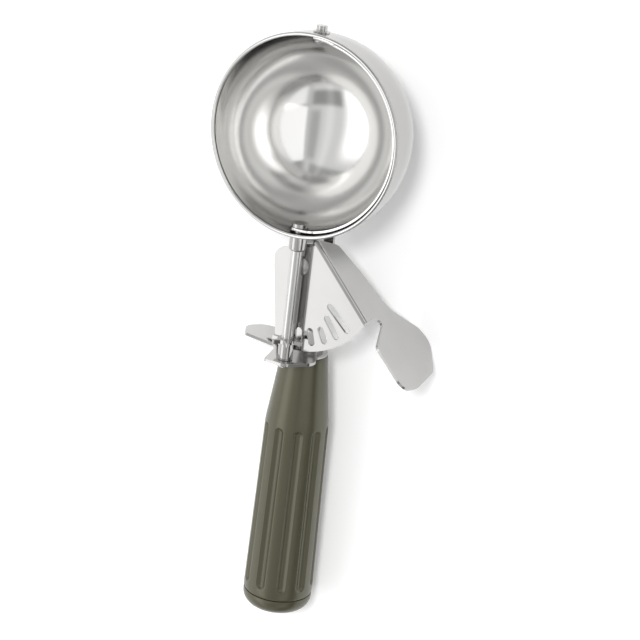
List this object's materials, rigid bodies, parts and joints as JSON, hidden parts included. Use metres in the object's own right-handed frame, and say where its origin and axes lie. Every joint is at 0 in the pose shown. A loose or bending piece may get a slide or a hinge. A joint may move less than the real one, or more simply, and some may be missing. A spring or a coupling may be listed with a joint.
{
  "type": "lever ice cream scoop",
  "caption": "Disher with a round steel bowl, a swivelling scraper band turned by a thumb lever through a slotted sector and star pinion, and a fluted handle.",
  "frame": {"origin": "centre of the bowl's sphere, on the scraper's axis", "axes": "+Z out of the bowl's mouth, +Y from the handle towards the bowl's tip along the scraper's axis, +X to the thumb lever's side"},
  "size_m": [0.0847, 0.2291, 0.0443],
  "materials": {
    "bowl_steel": "mirror-polished stainless steel",
    "plated_steel": "bright plated sheet and bar, with faint wear",
    "rivet_steel": "turned and tumbled steel",
    "spring_wire": "drawn spring wire",
    "grip_plastic": "satin moulded plastic, olive grey"
  },
  "bodies": {
    "frame": {"bowl": "bowl_steel", "top_pivot_pin": "rivet_steel", "top_pin_washer": "rivet_steel", "shaft_bushing": "plated_steel", "frame_upright": "plated_steel", "finger_plate": "plated_steel", "lever_pivot_pin": "rivet_steel", "lever_washer": "rivet_steel", "pivot_spacer": "plated_steel", "return_spring": "spring_wire", "handle_ferrule": "plated_steel", "handle_grip": "grip_plastic", "handle_end_cap": "grip_plastic"},
    "lever": {"thumb_lever": "plated_steel"},
    "scraper": {"scraper_blade": "bowl_steel", "blade_nut": "rivet_steel", "scraper_shaft": "plated_steel", "star_pinion": "plated_steel", "shaft_washer": "rivet_steel", "shaft_retaining_ring": "rivet_steel"}
  },
  "joints": [
    {"name": "lever_press", "type": "hinge", "parent": "frame", "child": "lever", "pos_m": [0, -0.04932, 0], "axis": [0, 0, -1], "range_deg": [0, 31.76], "stiffness_Nm_per_rad": 0.25, "springref_deg": -34.38, "deforming": ["return_spring"]},
    {"name": "scraper_sweep", "type": "hinge", "parent": "frame", "child": "scraper", "pos_m": [0, 0, 0], "axis": [0, 1, 0], "range_deg": [0, 180]}
  ],
  "couplings": [
    {"joint": "scraper_sweep", "follows": "lever_press", "ratio": 5.6667}
  ]
}
